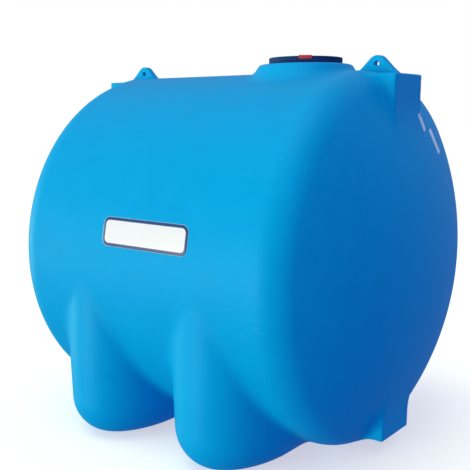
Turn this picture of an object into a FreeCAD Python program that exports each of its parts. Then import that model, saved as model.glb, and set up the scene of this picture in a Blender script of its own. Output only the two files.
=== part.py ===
import FreeCAD, Part
import math
import os

os.makedirs("parts", exist_ok=True)

# Horizontal water tank of rotationally moulded polyethylene, about 2.7 cubic metres.
# A short barrel lies along X with a domed end each side, and stands on two hollow saddle feet
# that open into it. A screw lid closes a manhole on top, and each end has a lifting lug.
# Millimetres. +Z is up, X is along the barrel, -Y is the front.
# The origin is on the floor under the middle of the tank.

# Barrel and ends
TANK_R = 750.0            # outer radius of the barrel
BARREL_HALF = 555.0       # half the length of the straight barrel
KNUCKLE_R = 145.0         # outer radius of the round corner between barrel and end
DISH_R = 1325.0           # outer radius of the shallow dome of each end
WALL = 10.0               # thickness of the moulded skin
BELLY_CLEAR = 5.0         # height of the lowest line of the barrel above the floor

# Saddle feet
FEET_GAP = 96.0           # between the inner flanks of the two feet at the floor
FLANK_CLEAR = 23.0        # from the outer flank of a foot to the end of the straight barrel
FLANK_DRAFT = 0.045       # how much a flank leans out for each unit of height
NOSE_SET_BACK = 4.0       # how far the upright noses stay behind the widest line of the barrel
NOSE_DEPTH = 350.0        # length of the rounded nose
FOOT_FILLET = 155.0       # radius of the round lower edge of a foot
FILLET_SHARE = 0.93       # most that this radius may be, as a share of the nose's tightest bend
SOLE_LIP = 6.0            # height to which the sole plate turns up inside the round edge

# Seams between the pieces of the skin
SEAM_MARGIN = 4.0         # from the seam of an end to the end of the straight barrel
SIDE_SEAM_MARGIN = 8.0    # from where the noses meet the barrel down to the side seam
CROWN_ANGLE = 30.0        # from the top to the seam between crown and shoulder, degrees
SHOULDER_ANGLE = 62.0     # from the top to the seam between shoulder and side, degrees
CROWN_SPLIT_CLEAR = 51.0  # from the collar to the seam between the two crown pieces
KNUCKLE_SPLIT = 45.0      # half of the turn that each piece of the knuckle takes, degrees

# Manhole collar, thread ring and gasket
MANHOLE_FROM_END = 270.0  # from the end of the straight barrel to the middle of the manhole
MANHOLE_BORE = 130.0      # radius of the way in
COLLAR_LEDGE = 38.0       # width of the collar's upper face beyond the lid
COLLAR_FLARE = 26.0       # how much wider the collar is at the crown than at its upper edge
COLLAR_RISE = 32.0        # height of the collar's upper face above the crown
COLLAR_BURY = 15.0        # how far the collar's cone is drawn into the crown
COLLAR_ROUND = 12.0       # radius of the collar's upper edge
THREAD_WALL = 7.0         # thickness of the ring that the lid screws on
THREAD_RISE = 18.0        # height of that ring above the collar
GASKET_WIDTH = 9.0
GASKET_THICK = 2.0

# Screw lid and its catch
SKIRT_CLEAR = 8.0         # between the thread ring and the lid's skirt
LID_WALL = 5.0            # thickness of the lid's skirt
LID_PLATE = 6.5           # thickness of the lid's flat top
LID_SEAT_GAP = 0.3        # between the gasket and the lid
LID_SKIRT_GAP = 3.0       # between the collar and the lower edge of the skirt
CATCH_ANGLE = -59.0       # direction of the catch from +X, degrees
CATCH_WIDTH = 52.0
CATCH_DROP = 12.0         # how far the catch hangs down over the skirt
CATCH_LAP = 16.0          # how far the catch reaches in over the lid
CATCH_THICK = 3.0

# Lifting lugs and corner blocks on the ends
LUG_OUT = 57.0            # from the end of the straight barrel to the lug's eye
LUG_THICK = 30.0
LUG_RISE = 56.0           # height of the lug above the crown
LUG_ROUND = 41.0          # radius of the lug's round top
LUG_SLOPE = 46.0          # slope of the lug's two flanks below the level, degrees
LUG_DEPTH = 90.0          # how far down the lug's flanks are drawn
EYE_RISE = 24.0           # height of the eye above the crown
EYE_R = 9.0               # radius of the eye
BLOCK_HALF = 115.0        # half the width of a corner block
BLOCK_OUT = 42.0          # from the end of the knuckle to a block's outer face
TOP_BLOCK_INSET = 17.5    # depth of an upper block's flat top inside the line of the barrel
LOW_BLOCK_INSET = 53.0    # depth of a lower block's flat underside inside that line

# Places that follow from the sizes above
AXIS_Z = TANK_R + BELLY_CLEAR
CROWN_Z = AXIS_Z + TANK_R
FOOT_HALF = (BARREL_HALF - FLANK_CLEAR - FEET_GAP / 2) / 2
FOOT_X = FEET_GAP / 2 + FOOT_HALF
FOOT_REACH = TANK_R - NOSE_SET_BACK
FLANK_END = FOOT_REACH - NOSE_DEPTH
SOLE_CUT_Z = WALL + SOLE_LIP
SIDE_SEAM_DROP = math.sqrt(TANK_R ** 2 - FOOT_REACH ** 2) + SIDE_SEAM_MARGIN
SIDE_SEAM_Z = AXIS_Z - SIDE_SEAM_DROP
SIDE_ANGLE = 90.0 + math.degrees(math.asin(SIDE_SEAM_DROP / TANK_R))
SEAM_X = BARREL_HALF - SEAM_MARGIN
DISH_SHIFT = math.sqrt((DISH_R - KNUCKLE_R) ** 2 - (TANK_R - KNUCKLE_R) ** 2)
DISH_ANGLE = math.atan2(TANK_R - KNUCKLE_R, DISH_SHIFT)
DISH_SEAM_X = BARREL_HALF + KNUCKLE_R * math.cos(DISH_ANGLE)
MANHOLE_X = BARREL_HALF - MANHOLE_FROM_END
THREAD_R = MANHOLE_BORE + THREAD_WALL
LID_R = THREAD_R + SKIRT_CLEAR + LID_WALL
COLLAR_TOP_R = LID_R + COLLAR_LEDGE
COLLAR_FOOT_R = COLLAR_TOP_R + COLLAR_FLARE
COLLAR_FOOT_Z = AXIS_Z + math.sqrt(TANK_R ** 2 - COLLAR_FOOT_R ** 2) - COLLAR_BURY
CROWN_SPLIT_X = MANHOLE_X - COLLAR_FOOT_R - CROWN_SPLIT_CLEAR
COLLAR_Z = CROWN_Z + COLLAR_RISE
THREAD_TOP_Z = COLLAR_Z + THREAD_RISE
GASKET_TOP_Z = THREAD_TOP_Z + GASKET_THICK
LID_UNDER_Z = GASKET_TOP_Z + LID_SEAT_GAP
LID_TOP_Z = LID_UNDER_Z + LID_PLATE
LUG_X = BARREL_HALF + LUG_OUT
BLOCK_FACE_X = BARREL_HALF + KNUCKLE_R + BLOCK_OUT
BLOCK_TOP_Z = CROWN_Z - TOP_BLOCK_INSET
BLOCK_LOW_Z = BELLY_CLEAR + LOW_BLOCK_INSET
FAR = 4.0 * TANK_R        # longer than anything on the tank

X_AXIS = FreeCAD.Vector(1, 0, 0)
Y_AXIS = FreeCAD.Vector(0, 1, 0)
Z_AXIS = FreeCAD.Vector(0, 0, 1)
ORIGIN = FreeCAD.Vector(0, 0, 0)


def save(name, shape):
    """Write one piece to its own file."""
    shape.exportStep("parts/" + name + ".step")


def box(x0, x1, y0, y1, z0, z1):
    """A box between two corners."""
    return Part.makeBox(x1 - x0, y1 - y0, z1 - z0, FreeCAD.Vector(x0, y0, z0))


def left_of(shape):
    """The same piece on the other end of the tank."""
    return shape.mirror(ORIGIN, X_AXIS)


def back_of(shape):
    """The same piece on the other side of the tank."""
    return shape.mirror(ORIGIN, Y_AXIS)


def clean(shape):
    """One solid out of the result of a cut."""
    solids = sorted(shape.Solids, key=lambda solid: solid.Volume)
    return solids[-1].removeSplitter()


def upright_ring(outer, inner, z0, z1, x):
    """A ring about a vertical line through x."""
    base = FreeCAD.Vector(x, 0, z0)
    ring = Part.makeCylinder(outer, z1 - z0, base, Z_AXIS)
    return ring.cut(Part.makeCylinder(inner, z1 - z0, base, Z_AXIS))


def tank_solid(inset):
    """Barrel and both domed ends as one solid, its surface moved in by inset."""
    radius = TANK_R - inset
    knuckle = KNUCKLE_R - inset
    dish = DISH_R - inset
    knuckle_r = TANK_R - KNUCKLE_R
    dish_x = BARREL_HALF - DISH_SHIFT

    def on_knuckle(angle):
        return BARREL_HALF + knuckle * math.cos(angle), knuckle_r + knuckle * math.sin(angle)

    def on_dish(angle):
        return dish_x + dish * math.cos(angle), dish * math.sin(angle)

    def point(pair, side=1):
        return FreeCAD.Vector(side * pair[0], 0, AXIS_Z + pair[1])

    edges = []
    for side in (1, -1):
        apex = on_dish(0.0)
        dish_mid = on_dish(DISH_ANGLE / 2)
        join = on_dish(DISH_ANGLE)
        knuckle_mid = on_knuckle((DISH_ANGLE + math.pi / 2) / 2)
        top = (BARREL_HALF, radius)
        edges.append(Part.Arc(point(apex, side), point(dish_mid, side), point(join, side)).toShape())
        edges.append(Part.Arc(point(join, side), point(knuckle_mid, side), point(top, side)).toShape())
    edges.append(Part.LineSegment(point((BARREL_HALF, radius)), point((BARREL_HALF, radius), -1)).toShape())
    edges.append(Part.LineSegment(point(on_dish(0.0)), point(on_dish(0.0), -1)).toShape())
    outline = Part.Wire(Part.__sortEdges__(edges))
    return Part.Face(outline).revolve(FreeCAD.Vector(0, 0, AXIS_Z), X_AXIS, 360)


def foot_outline(height, inset):
    """Plan of a foot at one height: straight flanks and half an ellipse as each nose."""
    half = FOOT_HALF + FLANK_DRAFT * height - inset
    reach = FOOT_REACH - inset
    nose = reach - FLANK_END
    edges = []
    for side in (-1, 1):
        middle = FreeCAD.Vector(FOOT_X, side * FLANK_END, height)
        tip = FreeCAD.Vector(FOOT_X, side * reach, height)
        corner = FreeCAD.Vector(FOOT_X + half, side * FLANK_END, height)
        if nose >= half:
            ellipse = Part.Ellipse(tip, corner, middle)
            start = -math.pi / 2
        else:
            ellipse = Part.Ellipse(corner, tip, middle)
            start = 0.0
        arc = Part.ArcOfEllipse(ellipse, start, start + math.pi)
        edges.append(arc.toShape())
        flank_x = FOOT_X + side * half
        edges.append(Part.LineSegment(FreeCAD.Vector(flank_x, -FLANK_END, height),
                                      FreeCAD.Vector(flank_x, FLANK_END, height)).toShape())
    return Part.Wire(Part.__sortEdges__(edges))


def foot_solid(inset):
    """The right foot up to the barrel's axis, with a round lower edge, moved in by inset."""
    half = FOOT_HALF - inset
    nose = NOSE_DEPTH - inset
    tightest_bend = min(half, nose) ** 2 / max(half, nose)
    fillet = min(FOOT_FILLET - inset, FILLET_SHARE * tightest_bend)
    body = Part.makeLoft([foot_outline(inset, inset), foot_outline(AXIS_Z, inset)], True, True)
    low = [edge for edge in body.Edges if edge.BoundBox.ZMax < inset + 1]
    return body.makeFillet(fillet, low)


def sector(angle0, angle1, x0, x1):
    """A wedge about the barrel's axis, its angles in degrees from the top towards the front."""
    steps = max(2, math.ceil((angle1 - angle0) / 45.0) + 1)
    points = [FreeCAD.Vector(x0, 0, AXIS_Z)]
    for i in range(steps):
        angle = math.radians(angle0 + (angle1 - angle0) * i / (steps - 1))
        points.append(FreeCAD.Vector(x0, -FAR * math.sin(angle), AXIS_Z + FAR * math.cos(angle)))
    points.append(points[0])
    return Part.Face(Part.makePolygon(points)).extrude(FreeCAD.Vector(x1 - x0, 0, 0))


def make_barrel():
    """Upper skin of the barrel: crown, shoulders and sides down to the side seam."""
    base = FreeCAD.Vector(-SEAM_X, 0, AXIS_Z)
    skin = Part.makeCylinder(TANK_R, 2 * SEAM_X, base, X_AXIS)
    skin = skin.cut(Part.makeCylinder(TANK_R - WALL, 2 * SEAM_X, base, X_AXIS))
    skin = skin.common(box(-SEAM_X, SEAM_X, -FAR, FAR, SIDE_SEAM_Z, FAR))
    crown = skin.common(sector(-CROWN_ANGLE, CROWN_ANGLE, -SEAM_X, SEAM_X))
    manhole = Part.makeCylinder(MANHOLE_BORE, FAR, FreeCAD.Vector(MANHOLE_X, 0, AXIS_Z), Z_AXIS)
    save("crown_plain", clean(crown.common(box(-FAR, CROWN_SPLIT_X, -FAR, FAR, 0, FAR))))
    save("crown_manhole", clean(crown.common(box(CROWN_SPLIT_X, FAR, -FAR, FAR, 0, FAR)).cut(manhole)))
    shoulder = clean(skin.common(sector(CROWN_ANGLE, SHOULDER_ANGLE, -SEAM_X, SEAM_X)))
    side = clean(skin.common(sector(SHOULDER_ANGLE, SIDE_ANGLE + 1, -SEAM_X, SEAM_X)))
    save("shoulder_front", shoulder)
    save("shoulder_back", back_of(shoulder))
    save("side_front", side)
    save("side_back", back_of(side))


def make_ends(outer, inner):
    """Each end: a shallow dish and four pieces of the round knuckle about it."""
    skin = outer.cut(inner)
    dish = clean(skin.common(box(DISH_SEAM_X, FAR, -FAR, FAR, -FAR, FAR)))
    save("end_right_dish", dish)
    save("end_left_dish", left_of(dish))
    ring = skin.common(box(SEAM_X, DISH_SEAM_X, -FAR, FAR, -FAR, FAR))
    for name, middle in (("top", 0.0), ("front", 90.0), ("bottom", 180.0), ("back", 270.0)):
        wedge = sector(middle - KNUCKLE_SPLIT, middle + KNUCKLE_SPLIT, SEAM_X, DISH_SEAM_X)
        piece = clean(ring.common(wedge))
        save("end_right_knuckle_" + name, piece)
        save("end_left_knuckle_" + name, left_of(piece))


def make_feet(outer, inner):
    """Each foot: its sole, two flanks and two noses, with the belly of the barrel about them."""
    foot = foot_solid(0.0)
    room = box(0, SEAM_X, -FAR, FAR, 0, SIDE_SEAM_Z)
    skin = outer.common(room).fuse(foot.common(room))
    skin = skin.cut(inner).cut(foot_solid(WALL))
    sole = skin.common(foot.common(box(0, SEAM_X, -FAR, FAR, 0, SOLE_CUT_Z)))
    walls = skin.cut(sole)
    pieces = {"sole": sole}
    inner_x = (0, FOOT_X)
    outer_x = (FOOT_X, SEAM_X)
    for side, (x0, x1) in (("inner", inner_x), ("outer", outer_x)):
        pieces["flank_" + side] = walls.common(box(x0, x1, -FLANK_END, FLANK_END, 0, SIDE_SEAM_Z))
        nose = walls.common(box(x0, x1, -FAR, -FLANK_END, 0, SIDE_SEAM_Z))
        pieces["nose_front_" + side] = nose
        pieces["nose_back_" + side] = back_of(nose)
    for name, shape in pieces.items():
        save("foot_right_" + name, clean(shape))
        save("foot_left_" + name, left_of(clean(shape)))


def make_manhole(outer):
    """Collar moulded on the crown, the ring that carries the thread, and its gasket."""
    base = FreeCAD.Vector(MANHOLE_X, 0, COLLAR_FOOT_Z)
    collar = Part.makeCone(COLLAR_FOOT_R, COLLAR_TOP_R, COLLAR_Z - COLLAR_FOOT_Z, base, Z_AXIS)
    rim = [edge for edge in collar.Edges if edge.BoundBox.ZMin > COLLAR_Z - 1]
    collar = collar.makeFillet(COLLAR_ROUND, rim)
    collar = collar.cut(Part.makeCylinder(MANHOLE_BORE, FAR, base, Z_AXIS)).cut(outer)
    save("manhole_collar", clean(collar))
    ring = upright_ring(THREAD_R, MANHOLE_BORE, COLLAR_Z, THREAD_TOP_Z, MANHOLE_X)
    save("thread_ring", ring)
    gasket = upright_ring(MANHOLE_BORE + GASKET_WIDTH, MANHOLE_BORE, THREAD_TOP_Z, GASKET_TOP_Z, MANHOLE_X)
    save("lid_gasket", gasket)


def make_lid():
    """Screw lid: a flat top, a skirt that hangs over the thread ring, and a catch on its edge."""
    skirt_z = COLLAR_Z + LID_SKIRT_GAP
    skirt = upright_ring(LID_R, LID_R - LID_WALL, skirt_z, LID_UNDER_Z, MANHOLE_X)
    save("lid_skirt", skirt)
    top = Part.makeCylinder(LID_R, LID_PLATE, FreeCAD.Vector(MANHOLE_X, 0, LID_UNDER_Z), Z_AXIS)
    save("lid_top", top)
    half = CATCH_WIDTH / 2
    catch = box(LID_R - CATCH_LAP, LID_R + CATCH_THICK, -half, half,
                LID_TOP_Z - CATCH_DROP, LID_TOP_Z + CATCH_THICK)
    lid = Part.makeCylinder(LID_R, LID_TOP_Z, ORIGIN, Z_AXIS)
    catch = clean(catch.cut(lid))
    catch.rotate(ORIGIN, Z_AXIS, CATCH_ANGLE)
    catch.translate(FreeCAD.Vector(MANHOLE_X, 0, 0))
    save("lid_catch", catch)


def lug_outline():
    """Side view of a lug: a round top and two straight flanks that touch it."""
    top_z = CROWN_Z + LUG_RISE
    slope = math.radians(LUG_SLOPE)
    touch_x = LUG_ROUND * math.sin(slope)
    touch_z = top_z - LUG_ROUND + LUG_ROUND * math.cos(slope)
    foot_x = touch_x + LUG_DEPTH / math.tan(slope)
    foot_z = touch_z - LUG_DEPTH

    def point(x, z):
        return FreeCAD.Vector(LUG_X + x, -LUG_THICK / 2, z)

    top = Part.Arc(point(-touch_x, touch_z), point(0, top_z), point(touch_x, touch_z)).toShape()
    line = Part.makePolygon([point(touch_x, touch_z), point(foot_x, foot_z),
                             point(-foot_x, foot_z), point(-touch_x, touch_z)])
    return Part.Face(Part.Wire([top] + line.Edges))


def make_end_fittings(outer):
    """Lifting lug and two corner blocks on each end, cut to sit on the skin."""
    upper = box(BARREL_HALF, BLOCK_FACE_X, -BLOCK_HALF, BLOCK_HALF, AXIS_Z, BLOCK_TOP_Z).cut(outer)
    lower = box(BARREL_HALF, BLOCK_FACE_X, -BLOCK_HALF, BLOCK_HALF, BLOCK_LOW_Z, AXIS_Z).cut(outer)
    lug = lug_outline().extrude(FreeCAD.Vector(0, LUG_THICK, 0))
    eye = Part.makeCylinder(EYE_R, FAR, FreeCAD.Vector(LUG_X, -FAR / 2, CROWN_Z + EYE_RISE), Y_AXIS)
    lug = lug.cut(eye).cut(outer).cut(upper)
    for name, shape in (("lifting_lug", lug), ("block_top", upper), ("block_bottom", lower)):
        save("right_" + name, clean(shape))
        save("left_" + name, left_of(clean(shape)))


outer = tank_solid(0.0)
inner = tank_solid(WALL)
make_barrel()
make_ends(outer, inner)
make_feet(outer, inner)
make_manhole(outer)
make_lid()
make_end_fittings(outer)
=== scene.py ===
import math

import bpy
import numpy as np
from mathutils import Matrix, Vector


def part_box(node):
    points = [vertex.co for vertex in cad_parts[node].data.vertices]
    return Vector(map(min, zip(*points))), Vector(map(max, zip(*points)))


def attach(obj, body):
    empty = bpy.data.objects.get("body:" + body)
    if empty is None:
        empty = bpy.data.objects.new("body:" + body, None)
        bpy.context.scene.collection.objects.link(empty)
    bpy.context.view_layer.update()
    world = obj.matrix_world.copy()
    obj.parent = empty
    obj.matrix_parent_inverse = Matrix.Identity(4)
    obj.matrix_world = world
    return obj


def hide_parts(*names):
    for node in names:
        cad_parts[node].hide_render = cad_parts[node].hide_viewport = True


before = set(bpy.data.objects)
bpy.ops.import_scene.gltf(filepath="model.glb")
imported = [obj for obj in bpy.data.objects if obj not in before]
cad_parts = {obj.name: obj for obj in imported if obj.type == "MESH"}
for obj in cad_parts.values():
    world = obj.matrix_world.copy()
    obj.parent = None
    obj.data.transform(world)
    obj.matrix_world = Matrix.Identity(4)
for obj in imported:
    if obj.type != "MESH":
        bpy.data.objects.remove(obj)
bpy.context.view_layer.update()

# Horizontal water tank: one moulded skin of blue polyethylene, a navy screw lid with a red catch,
# two lifting lugs, a plain label on the front and two pale strips on the right end.
# Metres, in the frame's own axes: X along the barrel, -Y is the front, Z up from the floor.


def span(node, axis):
    """The lowest and highest place of a node along one axis."""
    low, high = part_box(node)
    return low[axis], high[axis]


# Barrel and domed ends
TANK_R = span("side_back", 1)[1]
AXIS_Z = span("crown_plain", 2)[1] - TANK_R
CROWN_Z = AXIS_Z + TANK_R
BARREL_HALF = 0.555
KNUCKLE_R = 0.145
DISH_R = 1.325
KNUCKLE_RING = TANK_R - KNUCKLE_R
DISH_SHIFT = math.sqrt((DISH_R - KNUCKLE_R) ** 2 - KNUCKLE_RING ** 2)
DISH_ANGLE = math.atan2(KNUCKLE_RING, DISH_SHIFT)
DISH_CENTRE = BARREL_HALF - DISH_SHIFT
KNUCKLE_TURN = math.pi / 2 - DISH_ANGLE
KNUCKLE_END = BARREL_HALF + KNUCKLE_R * KNUCKLE_TURN
MERIDIAN = KNUCKLE_END + DISH_R * DISH_ANGLE

# Feet
FOOT_X = 0.290
FOOT_HALF = 0.236
FLANK_DRAFT = 0.045       # how much the half width grows for each unit of height
FOOT_REACH = TANK_R - 0.018
NOSE_DRAFT = 0.040
NOSE_DEPTH = 0.350
NOSE_TOP_Z = 0.290        # up to this height the nose leans out
FLANK_END = FOOT_REACH - NOSE_DEPTH
FOOT_FILLET = 0.145
FOOT_BLEND = 0.035        # how wide the soft valley between foot and barrel is
BLEND_FADE = 0.250        # height below the axis over which that valley narrows to nothing
LEAST_BLEND = 0.0001      # least width of the valley, and least square of the sine between its sides

# Corner blocks: one bar from top to bottom in each end
BLOCK_HALF = span("right_block_top", 1)[1]
BLOCK_FACE_X = span("right_block_top", 0)[1]
BLOCK_LOW_Z = span("right_block_bottom", 2)[0]
BLOCK_TOP_Z = span("right_block_top", 2)[1]
BLOCK_EDGE = 0.008
BLOCK_BLEND = 0.034
BLOCK_START_X = BARREL_HALF + 0.030

# Grid of the skin
SKIN_COLUMNS = 320
STATIONS_TO_FOOT = 56
STATIONS_TO_APEX = 96
DENSE_STATIONS = 700
DENSE_TURNS = 4001
TURN_WEIGHT = 0.03        # metres of extra length for each radian that a line turns
MOST_BEND = 0.6           # radians of turning that count between two stations
FOOT_CROWD = 0.9          # extra columns over the feet, as a share of the even ones
FOOT_TURN = 1.65          # radians from the top from which they begin
FOOT_TURN_SOFT = 0.12
BLOCK_CROWD = 3.0         # extra columns at the sides of the blocks
BLOCK_TURN = math.radians(10.2)
BLOCK_TURN_SOFT = math.radians(2.2)
RAY_REACH = 0.45
HALVINGS = 24
TINY = 1e-9               # keeps a length that divides above zero
TINY_SHARE = 1e-6

# Manhole and collar
MANHOLE_X = sum(span("lid_top", 0)) / 2
MANHOLE_BORE = 0.130
COLLAR_Z = span("manhole_collar", 2)[1]
COLLAR_TOP_R = 0.188
COLLAR_SLOPE = 0.66       # how much the neck widens for each unit of height
COLLAR_ROUND = 0.017
COLLAR_BLEND = 0.009      # how far the soft foot runs out at least
COLLAR_SPREAD = 0.35      # how much farther, as a share of the flank's height
COLLAR_SOFT = 0.45        # share of the flank that is part of the soft foot
COLLAR_COLUMNS = 200
MEETING_STEPS = 12
RUN_OUT = 0.002
UNDER_CROWN = 0.006       # how far the collar's closed underside lies below the crown

# Lid and catch
LID_R = (span("lid_skirt", 0)[1] - span("lid_skirt", 0)[0]) / 2
LID_WALL = 0.005
SKIRT_Z = span("lid_skirt", 2)[0]
LID_UNDER_Z, LID_TOP_Z = span("lid_top", 2)
LID_UNDER_R = 0.060       # a ring on the flat underside
LID_EDGE = 0.0035
LID_RIM = 0.016
LID_SUNK = 0.0022
LID_BOSS = 0.040
NICK = 0.001              # chamfer of the small edges
SOFT_NICK = 0.0003
LID_RIBS = 84
RIB_DEPTH = 0.0022
RIB_COLUMNS = 8
RIB_FADE = 0.002
RIB_STOP = 0.003          # how far below the lid's top the ribs end
SPOKE_WAVES = 4           # half as many as the spokes
SPOKE_HALF = 0.0035
SPOKE_REACH = 1.6         # half widths from its line at which a spoke has run out
SPOKE_RISE = 0.8          # its height as a share of the sunk ring's depth
SPOKE_MARGIN = 0.006
CATCH_ANGLE = math.radians(-59.0)
CATCH_WIDTH = 0.052
CATCH_DROP = 0.012
CATCH_LAP = 0.016
CATCH_THICK = span("lid_catch", 2)[1] - LID_TOP_Z
CATCH_BEND = 0.004
CATCH_BEFORE_BEND = 0.006
CATCH_LAST = 0.003
CATCH_ROUND = 0.8         # radius of the section's corners as a share of its half thickness
CATCH_END = 0.9           # size of the section at its two ends

# Lifting lugs
LUG_X = 0.612
LUG_TOP_Z = span("right_lifting_lug", 2)[1]
EYE_Z = CROWN_Z + 0.024
EYE_R = 0.009
LUG_ROUND = 0.041
LUG_THICK = span("right_lifting_lug", 1)[1] - span("right_lifting_lug", 1)[0]
LUG_SLOPE = math.radians(46.0)
LUG_DEPTH = 0.062
LUG_EDGE = 0.005
LUG_FLARE = 0.012
FLARE_TOP_Z = CROWN_Z + 0.014
FLARE_HEIGHT = 0.026
LUG_COLUMNS = 160
MOST_PAST_SLOPE = 1.45    # radians, short of where a flank would run on for ever
LEAST_DOWN = 0.05         # least cosine to straight down, for the same reason

# Label on the front and strips on the right end
LABEL_X = 0.054
LABEL_ANGLE = math.radians(79.7)
LABEL_SIZE = (0.428, 0.114)
LABEL_CORNER = 0.030
LABEL_LINE = (0.0005, 0.0012, 0.0120, 0.0135)
FILM_THICK = 0.0008
STRIP_ENDS = (((0.098, 0.582), (0.134, 0.515)), ((0.206, 0.522), (0.240, 0.424)))
STRIP_WIDTH = 0.043
STRIP_CORNER = 0.006
FILM_STEPS = 10
FILM_RINGS = 14
FIRST_RING = 0.06         # size of the innermost ring before the power
RING_POWER = 0.7
UNDER_DISH = 0.02
OVER_DISH = 0.15

# Colours and surfaces
PLASTICS = {
    "tank": {"name": "tank_polyethylene", "colour": (0.0, 0.348, 0.71, 1),
             "light_colour": (0.0, 0.362, 0.735, 1), "roughness": 0.42},
    "lid": {"name": "lid_plastic", "colour": (0.008, 0.028, 0.11, 1),
            "light_colour": (0.014, 0.042, 0.15, 1), "roughness": 0.38, "grain": 500.0,
            "ripple_height": 0.0002, "mark_colour": (0.10, 0.14, 0.28, 1)},
    "catch": {"name": "catch_plastic", "colour": (0.50, 0.035, 0.05, 1),
              "light_colour": (0.62, 0.06, 0.075, 1), "roughness": 0.28, "grain": 500.0,
              "ripple_height": 0.0001, "mark_colour": (0.8, 0.4, 0.4, 1)},
    "gasket": {"name": "gasket_rubber", "colour": (0.02, 0.02, 0.02, 1),
               "light_colour": (0.03, 0.03, 0.03, 1), "roughness": 0.7, "grain": 700.0,
               "ripple_height": 0.0001, "marks": 0.2, "mark_colour": (0.1, 0.1, 0.1, 1)},
    "strip": {"name": "strip_film", "colour": (0.93, 0.90, 0.97, 1),
              "light_colour": (0.96, 0.94, 0.98, 1), "roughness": 0.35, "grain": 600.0,
              "ripple_height": 0.0002, "marks": 0.3, "mark_colour": (0.8, 0.8, 0.9, 1)},
}
LABEL_WHITES = ((0.80, 0.80, 0.84, 1), (0.86, 0.86, 0.89, 1))
LABEL_NAVY = (0.006, 0.055, 0.19, 1)
MARK_COVER = 0.35         # how much of the colour a scuff covers
MARK_ROUGH = 0.15
TONE_ROUGH = 0.06
PLASTIC_IOR = 1.5
SHINE = 0.16
SHINE_TINT = (0.15, 0.60, 1.0, 1)

# Light
SKY_LOW = (0.05, 0.12, 0.40, 1)
SKY_HIGH = (0.40, 0.52, 0.74, 1)
FLOOR_GLOW = (0.56, 0.50, 0.38, 1)
FLOOR_GREYS = ((0.88, 0.88, 0.88, 1), (0.9, 0.9, 0.9, 1))
FLOOR_HALF = 60.0
FLOOR_Z = -0.0005
SUNS = {
    "key": {"azimuth": -25.0, "elevation": -7.0, "spread": 28.0, "strength": 1.04,
            "colour": (0.78, 0.705, 0.455)},
    "top": {"azimuth": -20.0, "elevation": 74.0, "spread": 40.0, "strength": 0.88,
            "colour": (0.26, 0.27, 0.16)},
    "edge": {"azimuth": -80.0, "elevation": -4.0, "spread": 30.0, "strength": 1.0,
             "colour": (0.13, 0.22, 0.12)},
}

# Camera
FRAME_PX = 470.0
FOCAL_PX = 785.3
SHIFT_PX = (39.5, 0.5)
SENSOR_MM = 36.0
CAMERA_TURN = 39.44
CAMERA_PITCH = 8.64
CAMERA_PLACE = (2.036, -2.843, 1.328)


def link(name, points, faces, material, replaced=(), slot="tank_blue", body="tank"):
    """A smooth piece from its points and its faces, quads and triangles in two arrays. The faces are turned
    outwards if the volume that they close comes out below zero."""
    quads, fans = faces
    a, b, c, d = np.moveaxis(points[quads], 1, 0)
    volume = np.sum(a * (np.cross(b, c) + np.cross(c, d)))
    if len(fans):
        a, b, c = np.moveaxis(points[fans], 1, 0)
        volume += np.sum(a * np.cross(b, c))
    if volume < 0:
        quads = quads[:, ::-1]
        fans = fans[:, ::-1]
    mesh = bpy.data.meshes.new(name)
    mesh.from_pydata(points.tolist(), [], quads.tolist() + fans.tolist())
    mesh.polygons.foreach_set("use_smooth", np.ones(len(mesh.polygons), bool))
    mesh.update()
    mesh.materials.append(material)
    piece = bpy.data.objects.new(name, mesh)
    bpy.context.scene.collection.objects.link(piece)
    if replaced:
        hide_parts(*replaced)
    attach(piece, body)
    return piece


def grid(points, poles=None):
    """Points and faces of a closed skin over a grid of rows and columns, whose columns run round.
    With two poles the first and last rows are closed by fans, and without them the rows run round too."""
    rows, columns = points.shape[:2]
    index = np.arange(rows * columns).reshape(rows, columns)
    beside = np.roll(index, -1, axis=1)
    if poles is None:
        index_next, beside_next = np.roll(index, -1, axis=0), np.roll(beside, -1, axis=0)
        quads = np.stack([index, beside, beside_next, index_next], -1).reshape(-1, 4)
        return points.reshape(-1, 3), (quads, np.empty((0, 3), int))
    quads = np.stack([index[:-1], beside[:-1], beside[1:], index[1:]], -1).reshape(-1, 4)
    first, last = rows * columns, rows * columns + 1
    fan_a = np.stack([beside[0], index[0], np.full(columns, first)], -1)
    fan_b = np.stack([index[-1], beside[-1], np.full(columns, last)], -1)
    return np.concatenate([points.reshape(-1, 3), poles]), (quads, np.concatenate([fan_a, fan_b]))


def arc(start, corner, end, steps):
    """A bend from start to end that leaves and arrives along the lines to the corner: the parabola
    (1-t)^2 start + 2t(1-t) corner + t^2 end. Each may be one place or a row of them."""
    t = np.linspace(0, 1, steps).reshape((-1,) + (1,) * np.ndim(start))
    return (1 - t) ** 2 * np.array(start) + 2 * t * (1 - t) * np.array(corner) + t ** 2 * np.array(end)


def rounded_rectangle(width, height, corner, steps):
    """Points round a rectangle with round corners: each corner's centre plus a quarter circle."""
    t = np.linspace(0, math.pi / 2, steps)
    turn = np.concatenate([t, t + math.pi / 2, t + math.pi, t + 1.5 * math.pi])
    sign_a = np.repeat([1, -1, -1, 1], steps)
    sign_b = np.repeat([1, 1, -1, -1], steps)
    return np.stack([sign_a * (width / 2 - corner) + corner * np.cos(turn),
                     sign_b * (height / 2 - corner) + corner * np.sin(turn)], -1)


def round_manhole(radius, turn, z):
    """Places at a radius and a direction round the manhole's upright axis."""
    return np.stack([MANHOLE_X + radius * np.cos(turn), radius * np.sin(turn), z + 0 * turn], -1)


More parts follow.
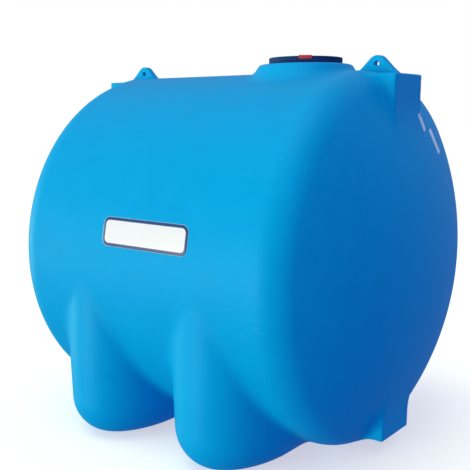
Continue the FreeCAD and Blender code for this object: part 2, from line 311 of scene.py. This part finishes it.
def meridian(s):
    """Place and outward normal on the outline from the middle of the barrel to an end's apex, s along it.
    The normal turns by s over the knuckle's radius and then over the dish's, and the place is the centre of
    its arc plus the radius along the normal."""
    on_knuckle = np.clip((s - BARREL_HALF) / KNUCKLE_R, 0, KNUCKLE_TURN)
    turn = on_knuckle + np.maximum(s - KNUCKLE_END, 0) / DISH_R
    parts = [s <= BARREL_HALF, s <= KNUCKLE_END]
    radius = np.select(parts, [TANK_R, KNUCKLE_R], DISH_R)
    centre_x = np.select(parts, [s, BARREL_HALF], DISH_CENTRE)
    centre_r = np.select(parts, [0.0, KNUCKLE_RING], 0.0)
    along, out = np.sin(turn), np.cos(turn)
    return centre_x + radius * along, centre_r + radius * out, along, out


def barrel_field(x, y, z):
    """Distance to the barrel with its domed end, below zero inside, and the outward normal."""
    height = z - AXIS_Z
    r = np.hypot(y, height) + TINY
    past = x - BARREL_HALF
    on_dish = (past > 0) & (r - KNUCKLE_RING < past * math.tan(DISH_ANGLE))
    parts = [past <= 0, on_dish]
    radius = np.select(parts, [TANK_R, DISH_R], KNUCKLE_R)
    along = x - np.select(parts, [x, DISH_CENTRE], BARREL_HALF)
    out = r - np.select(parts, [0.0, 0.0], KNUCKLE_RING)
    reach = np.hypot(along, out) + TINY
    return reach - radius, along / reach, out * y / r / reach, out * height / r / reach


def foot_field(x, y, z):
    """Distance to a foot, below zero inside, and the outward normal. Its plan is two straight flanks that
    lean out with height, and half an ellipse as each nose, which leans out too; its lower edge is round."""
    half = FOOT_HALF + FLANK_DRAFT * z
    u = (x - FOOT_X) / half
    v = np.maximum(np.abs(y) - FLANK_END - NOSE_DRAFT * np.minimum(z, NOSE_TOP_Z), 0) / NOSE_DEPTH
    q = np.hypot(u, v) + TINY_SHARE
    steep = np.hypot(u / half, v / NOSE_DEPTH) + TINY_SHARE / half
    side = (q - 1) * q / steep + FOOT_FILLET
    low = FOOT_FILLET - z
    corner = np.hypot(np.maximum(side, 0), np.maximum(low, 0)) + TINY
    distance = np.maximum(corner + np.minimum(np.maximum(side, low), 0) - FOOT_FILLET, z - AXIS_Z)
    level = np.maximum(side, 0) / corner / steep
    return (distance, level * u / half, level * np.sign(y) * v / NOSE_DEPTH,
            -np.maximum(low, 0) / corner)


def block_field(x, y, z):
    """Distance to the upright bar in an end whose ends are the corner blocks, with round edges."""
    low = np.array([BLOCK_START_X, -BLOCK_HALF, BLOCK_LOW_Z])
    high = np.array([BLOCK_FACE_X, BLOCK_HALF, BLOCK_TOP_Z])
    middle, size = (low + high) / 2, (high - low) / 2 - BLOCK_EDGE
    a, b, c = (np.abs(value - middle[axis]) - size[axis] for axis, value in enumerate((x, y, z)))
    outside = np.sqrt(np.maximum(a, 0) ** 2 + np.maximum(b, 0) ** 2 + np.maximum(c, 0) ** 2)
    return outside + np.minimum(np.maximum(np.maximum(a, b), c), 0) - BLOCK_EDGE


def soft_union(a, b, width):
    """The lesser of two distances, less a quarter of width times the square of how near they are to each
    other as a share of width: a valley with a round bottom."""
    near = np.maximum(width - np.abs(a - b), 0) / width
    return np.minimum(a, b) - near ** 2 * width / 4


def skin_field(x, y, z):
    """Distance to the whole moulding. The valley at a foot is as wide as the two surfaces stand across each
    other, and narrows towards the axis, so that it runs out where the nose goes over into the barrel.
    Nothing reaches below the floor."""
    barrel, *barrel_normal = barrel_field(x, y, z)
    foot, *foot_normal = foot_field(x, y, z)
    alike = sum(a * b for a, b in zip(barrel_normal, foot_normal))
    fade = np.clip((AXIS_Z - z) / BLEND_FADE, 0, 1)
    width = FOOT_BLEND * np.sqrt(np.clip(1 - alike ** 2, LEAST_BLEND, 1)) * fade + LEAST_BLEND
    body = soft_union(barrel, foot, width)
    return np.maximum(soft_union(body, block_field(x, y, z), BLOCK_BLEND), -z)


def crossing(place, near, far):
    """How far out along lines the moulding ends. Place gives the x, y and z at such reaches, and the stretch
    that holds the crossing is halved again and again."""
    for _ in range(HALVINGS):
        middle = (near + far) / 2
        outside = skin_field(*place(middle)) > 0
        near, far = np.where(outside, near, middle), np.where(outside, middle, far)
    return near


def cast(s, turn):
    """Where a line from the outline at s, along its normal and turned about the axis, leaves the moulding,
    as x, distance from the axis, y and z."""
    base_x, base_r, along, out = meridian(s)

    def place(reach):
        r = base_r + reach * out
        return base_x + reach * along, -r * np.sin(turn), AXIS_Z + r * np.cos(turn)

    reach = crossing(place, np.zeros_like(s), np.full_like(s, RAY_REACH))
    x, y, z = place(reach)
    return x, base_r + reach * out, y, z


def column_turns():
    """Directions round the axis from the top, closer together over the feet and at the blocks' sides."""
    even = np.linspace(-math.pi, math.pi, DENSE_TURNS)
    from_top = np.abs(even)
    feet = FOOT_CROWD / (1 + np.exp(-(from_top - FOOT_TURN) / FOOT_TURN_SOFT))
    from_block = np.minimum(from_top, math.pi - from_top) - BLOCK_TURN
    sides = BLOCK_CROWD * np.exp(-(from_block / BLOCK_TURN_SOFT) ** 2)
    count = np.cumsum(1.0 + feet + sides)
    count = (count - count[0]) / (count[-1] - count[0])
    return np.interp(np.arange(SKIN_COLUMNS) / SKIN_COLUMNS, count, even)


def tank_skin(material):
    """The moulding as stations along the outline times directions round the axis. Each line of one direction
    is measured on a close row of stations, by its length plus a share of its turning, and is then cut into
    equal steps from the middle to the foot's centre line, and from there to the apex."""
    turn = column_turns()
    dense = np.linspace(0, MERIDIAN, DENSE_STATIONS)
    s, t = np.meshgrid(dense, turn, indexing="ij")
    x, r, _, _ = cast(s, t)
    step_x, step_r = np.diff(x, axis=0), np.diff(r, axis=0)
    heading = np.unwrap(np.arctan2(step_r, step_x), axis=0)
    bend = np.abs(np.diff(heading, axis=0, prepend=heading[:1]))
    step = np.hypot(step_x, step_r) + TURN_WEIGHT * np.minimum(bend, MOST_BEND)
    length = np.concatenate([np.zeros((1, len(turn))), np.cumsum(step, axis=0)])
    foot_row = int(np.argmin(np.abs(dense - FOOT_X)))
    to_foot, whole = length[foot_row], length[-1]
    share_a = np.linspace(0, 1, STATIONS_TO_FOOT + 1)[:, None]
    share_b = np.linspace(0, 1, STATIONS_TO_APEX + 1)[1:-1, None]
    wanted = np.concatenate([share_a * to_foot, to_foot + share_b * (whole - to_foot)])
    offset = np.arange(len(turn)) * (whole.max() + 1)
    stations = np.interp((wanted + offset).T.ravel(), (length + offset).T.ravel(),
                         np.tile(dense, len(turn)))
    stations = stations.reshape(len(turn), -1).T
    x, _, y, z = cast(stations, np.broadcast_to(turn, stations.shape))
    right = np.stack([x, y, z], -1)
    left = right[:0:-1] * [-1, 1, 1]
    apex = DISH_CENTRE + DISH_R
    poles = np.array([[-apex, 0, AXIS_Z], [apex, 0, AXIS_Z]])
    points, faces = grid(np.concatenate([left, right]), poles)
    starts = ("crown", "shoulder", "side", "end_", "foot_")
    skin_nodes = [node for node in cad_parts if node.startswith(starts)]
    skin_nodes += [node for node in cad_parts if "_block_" in node]
    return link("tank_skin", points, faces, material, skin_nodes)


def manhole_collar(material):
    """The neck moulded about the manhole: a level ledge, a round shoulder, a flank that widens downwards and
    a soft foot that runs out on the round crown. The profile is carried round the manhole. Where the flank
    meets the crown is found for each direction, by going down the flank to the crown's height again and
    again."""
    turn = np.linspace(0, 2 * math.pi, COLLAR_COLUMNS, endpoint=False)

    def crown(radius):
        return AXIS_Z + np.sqrt(TANK_R ** 2 - (radius * np.sin(turn)) ** 2)

    def row(radius, z):
        return np.stack([radius + 0 * turn, z + 0 * turn], -1)

    meet = np.full_like(turn, COLLAR_TOP_R)
    for _ in range(MEETING_STEPS):
        meet = COLLAR_TOP_R + (COLLAR_Z - crown(meet)) * COLLAR_SLOPE
    meet_z = crown(meet)
    flank = COLLAR_Z - meet_z
    outer = meet + COLLAR_BLEND + COLLAR_SPREAD * flank
    shoulder = arc(row(COLLAR_TOP_R - COLLAR_ROUND, COLLAR_Z), row(COLLAR_TOP_R, COLLAR_Z),
                   row(COLLAR_TOP_R + 0.5 * COLLAR_ROUND * COLLAR_SLOPE, COLLAR_Z - 0.5 * COLLAR_ROUND), 7)
    soft = arc(row(meet - COLLAR_SOFT * flank * COLLAR_SLOPE, meet_z + COLLAR_SOFT * flank),
               row(meet, meet_z), row(outer, crown(outer)), 10)
    profile = np.array([row(MANHOLE_BORE, COLLAR_Z), row((MANHOLE_BORE + COLLAR_TOP_R) / 2, COLLAR_Z),
                        *shoulder, *soft, row(outer + RUN_OUT, crown(outer) - UNDER_CROWN),
                        row(MANHOLE_BORE, crown(MANHOLE_BORE) - UNDER_CROWN)])
    points = round_manhole(profile[..., 0], turn, profile[..., 1])
    return link("collar_moulding", *grid(points), material, ["manhole_collar"])


def screw_lid(material):
    """A closed turned body: underside, skirt with upright ribs, round upper edge, rim, sunk ring with spokes
    and a flat boss. The ribs take half a wave of RIB_DEPTH off the skirt's radius."""
    inner = LID_R - LID_WALL
    rim = LID_R - LID_RIM
    sunk_z = LID_TOP_Z - LID_SUNK
    outline = [[LID_UNDER_R, LID_UNDER_Z], [inner - NICK, LID_UNDER_Z], [inner, LID_UNDER_Z - NICK],
               [inner, SKIRT_Z + NICK], [inner + NICK, SKIRT_Z], [LID_R - NICK, SKIRT_Z]]
    outline += [[LID_R, z] for z in np.linspace(SKIRT_Z + NICK, LID_TOP_Z - LID_EDGE, 12)]
    edge = arc([LID_R, LID_TOP_Z - LID_EDGE], [LID_R, LID_TOP_Z], [LID_R - LID_EDGE, LID_TOP_Z], 6)
    outline += edge[1:].tolist()
    outline += [[rim, LID_TOP_Z], [rim - NICK, LID_TOP_Z - SOFT_NICK],
                [rim - 3 * NICK, sunk_z + SOFT_NICK], [rim - 4 * NICK, sunk_z]]
    outline += [[r, sunk_z] for r in np.linspace(rim - 12 * NICK, LID_BOSS + 12 * NICK, 6)]
    outline += [[LID_BOSS + 4 * NICK, sunk_z], [LID_BOSS + 3 * NICK, sunk_z + SOFT_NICK],
                [LID_BOSS + NICK, LID_TOP_Z - SOFT_NICK], [LID_BOSS, LID_TOP_Z],
                [LID_BOSS / 2, LID_TOP_Z]]
    radius, z = np.array(outline).T[:, :, None]
    turn = np.linspace(0, 2 * math.pi, LID_RIBS * RIB_COLUMNS, endpoint=False)
    ribbed = (np.clip((z - SKIRT_Z - RIB_FADE) / RIB_FADE, 0, 1)
              * np.clip((LID_TOP_Z - RIB_STOP - z) / RIB_FADE, 0, 1) * (radius > LID_R - NICK / 10))
    radius = radius - ribbed * RIB_DEPTH * (0.5 - 0.5 * np.cos(LID_RIBS * turn))
    in_ring = ((radius < rim - SPOKE_MARGIN) & (radius > LID_BOSS + SPOKE_MARGIN)
               & (z > LID_UNDER_Z + 2 * NICK))
    from_line = np.abs(np.sin(SPOKE_WAVES * turn)) * radius / SPOKE_WAVES
    z = z + in_ring * np.clip(SPOKE_REACH - from_line / SPOKE_HALF, 0, 1) * LID_SUNK * SPOKE_RISE
    poles = np.array([[MANHOLE_X, 0, LID_UNDER_Z], [MANHOLE_X, 0, LID_TOP_Z]])
    points, faces = grid(round_manhole(radius, turn, z), poles)
    return link("screw_lid", points, faces, material, ["lid_top", "lid_skirt"], "lid_navy", "lid")


def lid_catch(material):
    """A bent plate over the lid's edge: a rounded section carried along an elbow, wide side round the rim.
    The ends are closed by a smaller ring and a pole."""
    half = CATCH_THICK / 2
    top, out = LID_TOP_Z + half, LID_R + half
    low = LID_TOP_Z - CATCH_DROP
    elbow = np.concatenate([[[out - CATCH_LAP - half, top], [out - CATCH_BEFORE_BEND, top]],
                            arc([out - CATCH_BEND, top], [out, top], [out, top - CATCH_BEND], 7),
                            [[out, low + CATCH_LAST], [out, low]]])
    heading = np.gradient(elbow, axis=0)
    heading /= np.linalg.norm(heading, axis=1)[:, None]
    across = np.stack([-heading[:, 1], heading[:, 0]], -1)
    section = rounded_rectangle(CATCH_WIDTH, CATCH_THICK, half * CATCH_ROUND, 5)
    size = np.ones(len(elbow))
    size[[0, -1]] = CATCH_END
    wide = size[:, None] * section[:, 0]
    thick = size[:, None] * section[:, 1]
    radius = elbow[:, :1] + across[:, :1] * thick
    z = elbow[:, 1:] + across[:, 1:] * thick
    poles = round_manhole(elbow[[0, -1], 0], np.full(2, CATCH_ANGLE), elbow[[0, -1], 1])
    points, faces = grid(round_manhole(radius, CATCH_ANGLE + wide / LID_R, z), poles)
    return link("red_catch", points, faces, material, ["lid_catch"], "catch_red", "lid")


def lifting_lug(side, material):
    """A flat ear with an eye. Directions round the eye give the distance to the ear's edge: to the circle of
    the round top between its two tangents, then to the tangents as flanks, then to the level foot. A rounded
    section from eye to edge is carried round, and it thickens towards the crown."""
    turn = np.linspace(-math.pi, math.pi, LUG_COLUMNS, endpoint=False)
    rise = LUG_TOP_Z - LUG_ROUND - EYE_Z
    touch = math.atan2(LUG_ROUND * math.sin(LUG_SLOPE), rise + LUG_ROUND * math.cos(LUG_SLOPE))
    crest = rise * np.cos(turn) + np.sqrt(LUG_ROUND ** 2 - (rise * np.sin(turn)) ** 2)
    past = np.clip(np.abs(turn) - LUG_SLOPE, 0, MOST_PAST_SLOPE)
    flank = (LUG_ROUND + rise * math.cos(LUG_SLOPE)) / np.cos(past)
    foot = LUG_DEPTH / np.maximum(-np.cos(turn), LEAST_DOWN)
    edge = np.minimum(np.where(np.abs(turn) < touch, crest, flank), foot)
    bend = np.linspace(0, math.pi / 2, 5)
    corner = np.concatenate([bend, bend + math.pi / 2, bend + math.pi, bend + 1.5 * math.pi])
    at_edge = np.repeat([1, 0, 0, 1], 5)
    at_back = np.repeat([1, 1, -1, -1], 5)
    inset = np.where(at_edge == 1, -LUG_EDGE, LUG_EDGE) + LUG_EDGE * np.cos(corner)
    distance = EYE_R + at_edge[:, None] * (edge - EYE_R) + inset[:, None]
    x = LUG_X + distance * np.sin(turn)
    z = EYE_Z + distance * np.cos(turn)
    y = (at_back * (LUG_THICK / 2 - LUG_EDGE) + LUG_EDGE * np.sin(corner))[:, None] + 0 * x
    low = np.clip((FLARE_TOP_Z - z) / FLARE_HEIGHT, 0, 1)
    y = y + np.sign(y) * LUG_FLARE * low ** 2
    end = "right" if side > 0 else "left"
    points, faces = grid(np.stack([side * x, y, z], -1))
    return link("lifting_lug_" + end, points, faces, material, [end + "_lifting_lug"])


def film(name, size, corner, place, material, with_edge=False):
    """A thin closed plate. Rings shrink from its round-cornered outline to the middle on the front, and place
    maps a point along, across and above the surface that it sticks to. With_edge keeps each point's distance
    from the outline as the attribute from_edge."""
    outline = rounded_rectangle(size[0], size[1], corner, FILM_STEPS)
    front = np.full(len(outline), FILM_THICK)
    shares = np.linspace(FIRST_RING, 1, FILM_RINGS) ** RING_POWER
    rings = [np.column_stack([outline * share, front]) for share in shares]
    rings.append(np.column_stack([outline, -front]))
    local = np.array(rings)
    poles = np.array([[0, 0, FILM_THICK], [0, 0, -FILM_THICK]])
    points, faces = grid(place(local), place(poles))
    piece = link(name, points, faces, material)
    if with_edge:
        flat = np.concatenate([local.reshape(-1, 3), poles])[:, :2]
        q = np.abs(flat) - np.array(size) / 2 + corner
        inside = corner - np.hypot(*np.maximum(q, 0).T) - np.minimum(np.max(q, axis=1), 0)
        layer = piece.data.attributes.new("from_edge", "FLOAT", "POINT")
        layer.data.foreach_set("value", inside)
    return piece


def on_barrel(local):
    """A point along the barrel, down round it and above its skin."""
    turn = LABEL_ANGLE + local[..., 1] / TANK_R
    r = TANK_R + local[..., 2]
    return np.stack([LABEL_X + local[..., 0], -r * np.sin(turn), AXIS_Z + r * np.cos(turn)], -1)


def on_right_dish(start, end):
    """Maps onto the right end, along the line between two places given as y and height over the axis. Lines
    out of the dish's centre are followed to the moulding."""
    centre = np.array([DISH_CENTRE, 0, AXIS_Z])

    def normal(y, height):
        return np.array([math.sqrt(DISH_R ** 2 - y ** 2 - height ** 2), y, height]) / DISH_R

    a, b = normal(*start), normal(*end)
    middle = (a + b) / np.linalg.norm(a + b)
    along = (b - a) / np.linalg.norm(b - a)
    across = np.cross(middle, along)

    def place(local):
        aim = middle + (local[..., :1] * along + local[..., 1:2] * across) / DISH_R
        aim = aim / np.linalg.norm(aim, axis=-1, keepdims=True)

        def out(reach):
            return np.moveaxis(centre + reach[..., None] * aim, -1, 0)

        near = np.full(aim.shape[:-1], DISH_R - UNDER_DISH)
        reach = crossing(out, near, near + UNDER_DISH + OVER_DISH)
        return centre + (reach[..., None] + local[..., 2:]) * aim

    return place


class Nodes:
    """Adds nodes to a tree by their type's name and joins them."""

    def __init__(self, tree):
        self.tree = tree

    def add(self, kind, **values):
        node = self.tree.nodes.new(kind)
        for key, value in values.items():
            setattr(node, key, value)
        return node

    def join(self, source, target):
        self.tree.links.new(source, target)

    def put(self, socket, value):
        """Sets a socket to a plain value, or joins another socket to it."""
        if isinstance(value, bpy.types.NodeSocket):
            self.join(value, socket)
        else:
            socket.default_value = value

    def noise(self, vector, scale, detail=3.0, roughness=0.5):
        """Noise from 0 to 1, mostly near one half."""
        node = self.add("ShaderNodeTexNoise")
        self.join(vector, node.inputs["Vector"])
        self.put(node.inputs["Scale"], scale)
        node.inputs["Detail"].default_value = detail
        node.inputs["Roughness"].default_value = roughness
        return node.outputs["Fac"]

    def math(self, operation, a, b=0.0, c=0.0, clamp=False):
        node = self.add("ShaderNodeMath", operation=operation, use_clamp=clamp)
        for socket, value in zip(node.inputs, (a, b, c)):
            self.put(socket, value)
        return node.outputs[0]

    def band(self, value, low, high):
        """0 below low, 1 above high and smooth between."""
        node = self.add("ShaderNodeMapRange", interpolation_type="SMOOTHSTEP")
        for socket, given in zip(node.inputs, (value, low, high, 0.0, 1.0)):
            self.put(socket, given)
        return node.outputs[0]

    def mix(self, share, a, b):
        """The colour a where share is 0, and b where it is 1."""
        node = self.add("ShaderNodeMix", data_type="RGBA")
        self.put(node.inputs["Factor"], share)
        self.put(node.inputs[6], a)
        self.put(node.inputs[7], b)
        return node.outputs[2]

    def stretch(self, vector, scale, turn):
        node = self.add("ShaderNodeMapping")
        self.join(vector, node.inputs["Vector"])
        node.inputs["Scale"].default_value = scale
        node.inputs["Rotation"].default_value = turn
        return node.outputs[0]


def group(name, values, outputs, fill):
    """A shader node group with an input Vector, the named values with their defaults, and named outputs."""
    tree = bpy.data.node_groups.new(name, "ShaderNodeTree")
    tree.interface.new_socket("Vector", in_out="INPUT", socket_type="NodeSocketVector")
    for label, value in values.items():
        socket = tree.interface.new_socket(label, in_out="INPUT", socket_type="NodeSocketFloat")
        socket.default_value = value
    for label in outputs:
        tree.interface.new_socket(label, in_out="OUTPUT", socket_type="NodeSocketFloat")
    nodes = Nodes(tree)
    source = nodes.add("NodeGroupInput").outputs
    sink = nodes.add("NodeGroupOutput").inputs
    fill(nodes, source, sink)
    return tree


def moulded_surface():
    """Fine grain and slow ripples of a moulded skin: Height in metres for bump, and Tone about one half,
    which is a quarter grain and three quarters clouds."""

    def fill(nodes, source, sink):
        grain = nodes.noise(source["Vector"], source["Grain Scale"], 4.0, 0.6)
        ripple = nodes.noise(source["Vector"], source["Ripple Scale"], 2.0, 0.45)
        cloud = nodes.noise(source["Vector"], source["Cloud Scale"], 5.0, 0.55)
        fine = nodes.math("MULTIPLY", grain, source["Grain Height"])
        slow = nodes.math("MULTIPLY", ripple, source["Ripple Height"])
        nodes.join(nodes.math("ADD", fine, slow), sink["Height"])
        clouds = nodes.math("MULTIPLY", cloud, 0.75)
        nodes.join(nodes.math("MULTIPLY_ADD", grain, 0.25, clouds), sink["Tone"])

    values = {"Grain Scale": 300.0, "Ripple Scale": 5.0, "Cloud Scale": 9.0, "Grain Height": 0.0002,
              "Ripple Height": 0.002}
    return group("moulded_surface", values, ["Height", "Tone"], fill)


def handling_marks():
    """Thin scuffs in three directions, broken up in patches: Mask from 0 to 1."""
    turns = ((0.0, 0.3, 0.2), (0.2, 1.1, 0.5), (0.5, 2.0, 0.1))
    thinness = (3.0, 40.0, 60.0)

    def fill(nodes, source, sink):
        patches = nodes.band(nodes.noise(source["Vector"], source["Patch Scale"], 3.0), 0.52, 0.68)
        total = None
        for turn in turns:
            thin = nodes.stretch(source["Vector"], thinness, turn)
            line = nodes.band(nodes.noise(thin, source["Line Scale"], 2.0), source["Sparse"], 0.80)
            total = line if total is None else nodes.math("MAXIMUM", total, line)
        spread = nodes.math("MULTIPLY", total, patches)
        nodes.join(nodes.math("MULTIPLY", spread, source["Amount"], clamp=True), sink["Mask"])

    values = {"Patch Scale": 4.0, "Line Scale": 2.0, "Sparse": 0.66, "Amount": 0.6}
    return group("handling_marks", values, ["Mask"], fill)


def use_group(nodes, tree, vector, **values):
    """Places a group in a material, with values by the inputs' names with spaces for underscores."""
    node = nodes.add("ShaderNodeGroup", node_tree=tree)
    nodes.join(vector, node.inputs["Vector"])
    for key, value in values.items():
        node.inputs[key.replace("_", " ").title()].default_value = value
    return node.outputs


def new_material(name):
    """A material with its nodes, its Principled BSDF and the object's own coordinates."""
    material = bpy.data.materials.new(name)
    material.use_nodes = True
    nodes = Nodes(material.node_tree)
    shader = material.node_tree.nodes["Principled BSDF"]
    vector = nodes.add("ShaderNodeTexCoord").outputs["Object"]
    return material, nodes, shader, vector


def bump(nodes, shader, height):
    """Tilts the shader's normal by a height in metres."""
    node = nodes.add("ShaderNodeBump")
    node.inputs["Strength"].default_value = 1.0
    node.inputs["Distance"].default_value = 1.0
    nodes.join(height, node.inputs["Height"])
    nodes.join(node.outputs["Normal"], shader.inputs["Normal"])


def moulded_plastic(groups, name, colour, light_colour, roughness, grain=260.0, grain_height=0.00008,
                    ripple_height=0.0008, marks=0.28, mark_colour=(0.35, 0.62, 0.85, 1)):
    """Moulded plastic: two close tones in clouds, fine grain, slow ripples and faint scuffs."""
    material, nodes, shader, vector = new_material(name)
    surface = use_group(nodes, groups["surface"], vector, grain_scale=grain, grain_height=grain_height,
                        ripple_height=ripple_height)
    scuffs = use_group(nodes, groups["marks"], vector, amount=marks)["Mask"]
    tone = nodes.band(surface["Tone"], 0.35, 0.65)
    body = nodes.mix(tone, colour, light_colour)
    cover = nodes.math("MULTIPLY", scuffs, MARK_COVER)
    nodes.join(nodes.mix(cover, body, mark_colour), shader.inputs["Base Color"])
    rough = nodes.math("MULTIPLY_ADD", tone, TONE_ROUGH, roughness)
    nodes.join(nodes.math("MULTIPLY_ADD", scuffs, MARK_ROUGH, rough), shader.inputs["Roughness"])
    shader.inputs["IOR"].default_value = PLASTIC_IOR
    shader.inputs["Specular IOR Level"].default_value = SHINE
    shader.inputs["Specular Tint"].default_value = SHINE_TINT
    bump(nodes, shader, surface["Height"])
    return material


def label_film(groups):
    """White film with a navy line round it, set by the distance from the label's edge."""
    material, nodes, shader, vector = new_material("label_film")
    edge = nodes.add("ShaderNodeAttribute", attribute_name="from_edge").outputs["Fac"]
    begin, full, thin, stop = LABEL_LINE
    line = nodes.math("MULTIPLY", nodes.band(edge, begin, full), nodes.band(edge, stop, thin))
    surface = use_group(nodes, groups["surface"], vector, grain_scale=500.0, grain_height=0.00002,
                        ripple_height=0.0006)
    white = nodes.mix(surface["Tone"], *LABEL_WHITES)
    nodes.join(nodes.mix(line, white, LABEL_NAVY), shader.inputs["Base Color"])
    nodes.join(nodes.math("MULTIPLY_ADD", surface["Tone"], 0.1, 0.25), shader.inputs["Roughness"])
    bump(nodes, shader, surface["Height"])
    return material


def dress_frame(materials):
    """Gives the CAD nodes that stay in sight their own material."""
    for node, name in (("thread_ring", "tank"), ("lid_gasket", "gasket")):
        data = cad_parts[node].data
        data.materials.clear()
        data.materials.append(materials[name])


def sun(name, azimuth, elevation, spread, strength, colour):
    """A far light, by its direction from -Y towards +X and its height above the level, all in degrees."""
    lamp = bpy.data.lights.new(name, "SUN")
    lamp.angle = math.radians(spread)
    lamp.energy = strength * math.pi
    lamp.color = colour
    holder = bpy.data.objects.new(name, lamp)
    holder.rotation_euler = (math.radians(90.0 - elevation), 0, math.radians(azimuth))
    bpy.context.scene.collection.objects.link(holder)


def surroundings():
    """White to the camera, and to the tank a bluish grey that is a little lighter above than below."""
    world = bpy.data.worlds.new("surroundings")
    world.use_nodes = True
    nodes = Nodes(world.node_tree)
    height = nodes.add("ShaderNodeSeparateXYZ")
    nodes.join(nodes.add("ShaderNodeTexCoord").outputs["Generated"], height.inputs[0])
    share = nodes.math("MULTIPLY_ADD", height.outputs[2], 0.5, 0.5)
    soft = nodes.mix(share, SKY_LOW, SKY_HIGH)
    seen = nodes.add("ShaderNodeLightPath").outputs["Is Camera Ray"]
    nodes.join(nodes.mix(seen, soft, (1, 1, 1, 1)), world.node_tree.nodes["Background"].inputs["Color"])
    bpy.context.scene.world = world


def studio():
    """Pale floor that doesn't colour the tank or shade it from below, light surroundings, a warm soft light
    from the left and front, a weaker one above and one that catches the left edges."""
    mesh = bpy.data.meshes.new("floor")
    corners = ((-FLOOR_HALF, -FLOOR_HALF), (FLOOR_HALF, -FLOOR_HALF), (FLOOR_HALF, FLOOR_HALF),
               (-FLOOR_HALF, FLOOR_HALF))
    mesh.from_pydata([(x, y, FLOOR_Z) for x, y in corners], [], [(0, 1, 2, 3)])
    floor = bpy.data.objects.new("floor", mesh)
    bpy.context.scene.collection.objects.link(floor)
    floor.visible_diffuse = False
    floor.visible_glossy = False
    floor.visible_shadow = False
    material, nodes, shader, vector = new_material("pale_floor")
    tone = nodes.noise(vector, 1.5)
    nodes.join(nodes.mix(tone, *FLOOR_GREYS), shader.inputs["Base Color"])
    shader.inputs["Emission Color"].default_value = FLOOR_GLOW
    shader.inputs["Emission Strength"].default_value = 1.0
    shader.inputs["Roughness"].default_value = 0.9
    mesh.materials.append(material)
    surroundings()
    for name, values in SUNS.items():
        sun(name, **values)


def camera():
    """The photograph's viewing angle: a long lens a little above the axis, off the right end."""
    lens = bpy.data.cameras.new("view")
    lens.sensor_width = SENSOR_MM
    lens.lens = FOCAL_PX * SENSOR_MM / FRAME_PX
    lens.shift_x = SHIFT_PX[0] / FRAME_PX
    lens.shift_y = SHIFT_PX[1] / FRAME_PX
    holder = bpy.data.objects.new("view", lens)
    holder.location = CAMERA_PLACE
    holder.rotation_euler = (math.radians(90.0 - CAMERA_PITCH), 0, math.radians(CAMERA_TURN))
    bpy.context.scene.collection.objects.link(holder)
    bpy.context.scene.camera = holder


camera()
studio()
groups = {"surface": moulded_surface(), "marks": handling_marks()}
materials = {key: moulded_plastic(groups, **values) for key, values in PLASTICS.items()}
materials["label"] = label_film(groups)
dress_frame(materials)
tank_skin(materials["tank"])
manhole_collar(materials["tank"])
screw_lid(materials["lid"])
lid_catch(materials["catch"])
lifting_lug(1, materials["tank"])
lifting_lug(-1, materials["tank"])
film("front_label", LABEL_SIZE, LABEL_CORNER, on_barrel, materials["label"], with_edge=True)
for number, ends in enumerate(STRIP_ENDS, 1):
    size = (math.dist(*ends), STRIP_WIDTH)
    film("end_strip_" + str(number), size, STRIP_CORNER, on_right_dish(*ends), materials["strip"])
bpy.context.scene.view_settings.view_transform = "Standard"
